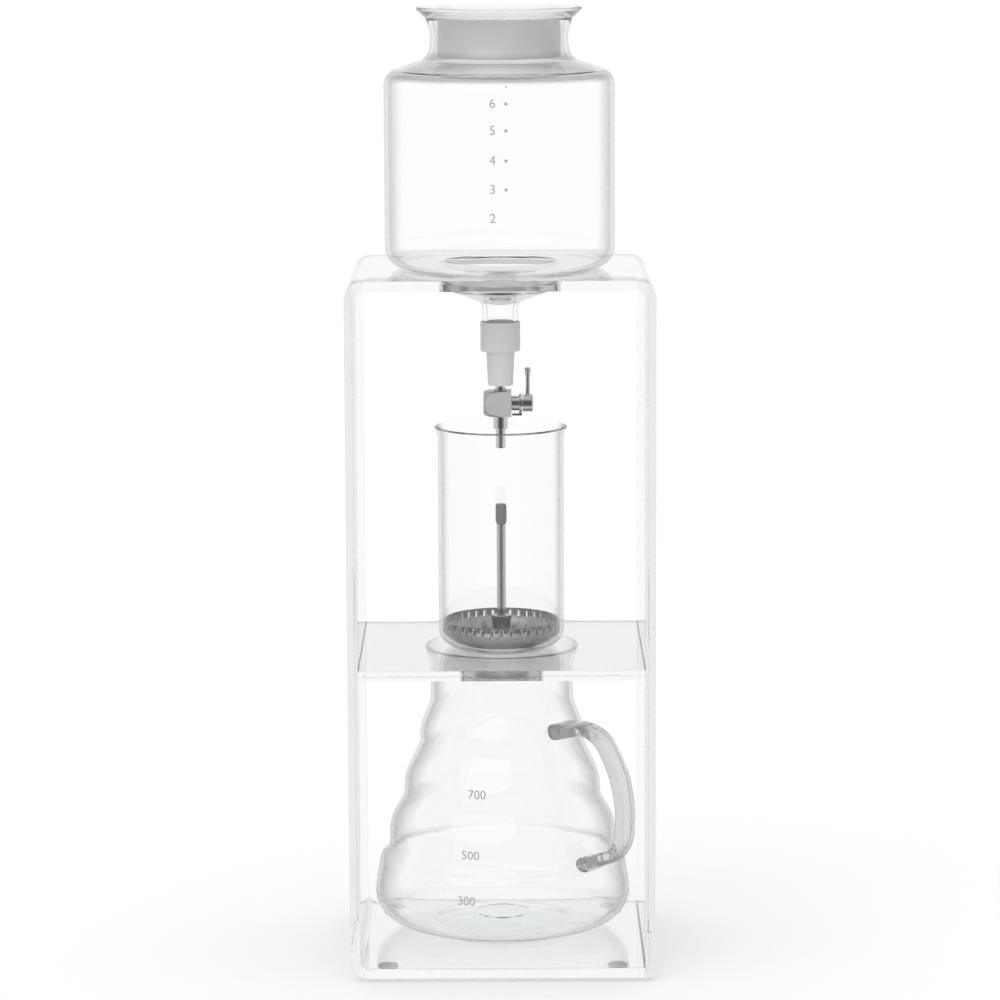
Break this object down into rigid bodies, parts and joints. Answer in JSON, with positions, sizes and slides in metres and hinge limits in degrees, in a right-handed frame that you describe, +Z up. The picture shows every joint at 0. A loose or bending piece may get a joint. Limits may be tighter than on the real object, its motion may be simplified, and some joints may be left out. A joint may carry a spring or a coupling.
{
  "type": "cold drip coffee tower",
  "caption": "Clear acrylic stand with a lidded glass water bowl and drip valve over a glass dripper with a steel strainer, above a rippled glass server with a handle.",
  "frame": {"origin": "on the table, under the middle of the object's footprint", "axes": "+Z up, -Y towards the user, +X to the right, where the valve's lever and the server's handle are"},
  "size_m": [0.1482, 0.1489, 0.4686],
  "materials": {
    "acrylic": "polished clear acrylic sheet",
    "clear_rubber": "clear soft bumper",
    "glass": "blown clear heatproof glass",
    "ground_glass": "clear glass with a frosted plug",
    "silicone": "translucent moulded silicone",
    "chrome": "chromed brass",
    "satin_nickel": "satin nickel plate",
    "seal_rubber": "black seal rubber",
    "stainless": "stamped stainless steel",
    "polished_steel": "polished stainless rod",
    "knob_plastic": "moulded grey plastic"
  },
  "bodies": {
    "stand": {"stand_frame": "acrylic", "middle_shelf": "acrylic", "bumper_feet": "clear_rubber"},
    "reservoir": {"reservoir_bowl": "glass", "silicone_joint": "silicone", "valve_inlet": "chrome", "valve_body": "satin_nickel", "gland_nut": "chrome", "stem_washer": "chrome", "outlet_nozzle": "chrome"},
    "lid": {"reservoir_lid": "ground_glass"},
    "valve_key": {"valve_plug": "satin_nickel", "plug_seals": "seal_rubber", "lever_hub": "chrome", "lever_arm": "chrome", "lever_screw": "chrome"},
    "dripper": {"dripper_glass": "glass"},
    "strainer": {"strainer_band": "stainless", "strainer_plate": "stainless", "strainer_ring": "stainless", "rod_boss": "stainless", "strainer_rod": "polished_steel", "rod_knob": "knob_plastic"},
    "server": {"server_glass": "glass", "server_handle": "glass"}
  },
  "joints": [
    {"name": "bowl_lift", "type": "slide", "parent": "stand", "child": "reservoir", "axis": [0, 0, 1], "range_m": [0, 0.12]},
    {"name": "lid_lift", "type": "slide", "parent": "reservoir", "child": "lid", "axis": [0, 0, 1], "range_m": [0, 0.06]},
    {"name": "valve_turn", "type": "hinge", "parent": "reservoir", "child": "valve_key", "pos_m": [0.0134, -0.00945, 0.2752], "axis": [1, 0, 0], "range_deg": [-90, 90]},
    {"name": "dripper_lift", "type": "slide", "parent": "stand", "child": "dripper", "axis": [0, 0, 1], "range_m": [0, 0.025]},
    {"name": "strainer_lift", "type": "slide", "parent": "dripper", "child": "strainer", "axis": [0, 0, 1], "range_m": [0, 0.026]},
    {"name": "server_slide", "type": "slide", "parent": "stand", "child": "server", "axis": [0, -1, 0], "range_m": [0, 0.2]}
  ]
}
